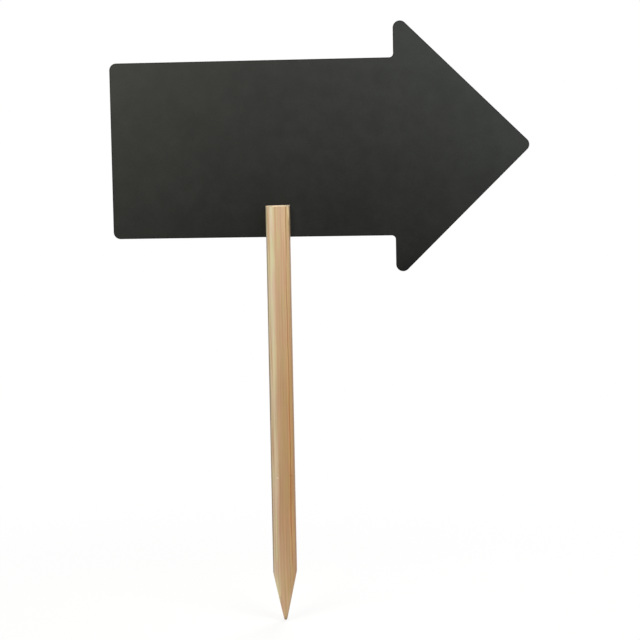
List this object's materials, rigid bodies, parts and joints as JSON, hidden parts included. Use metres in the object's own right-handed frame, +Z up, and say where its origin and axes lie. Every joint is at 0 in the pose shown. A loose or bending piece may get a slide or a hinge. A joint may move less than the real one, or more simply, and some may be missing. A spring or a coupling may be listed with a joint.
{
  "type": "chalkboard arrow sign",
  "caption": "Arrow-shaped matt blackboard panel screwed to a pointed wooden garden stake, pointing to the side.",
  "frame": {"origin": "middle of the blunt edge at the tip of the stake", "axes": "+X where the arrow points, +Z up along the stake to the board, -Y the side of the board that the stake is on"},
  "size_m": [0.418, 0.021, 0.5998],
  "materials": {
    "blackboard_paint": "fibreboard rolled with matt charcoal blackboard paint on both faces and its edges",
    "planed_pine": "planed softwood, unfinished, straight vertical grain",
    "zinc_plated_steel": "bright zinc-plated wood screw"
  },
  "bodies": {
    "root": {"arrow_board": "blackboard_paint", "stake": "planed_pine", "board_screws": "zinc_plated_steel"}
  },
  "joints": []
}
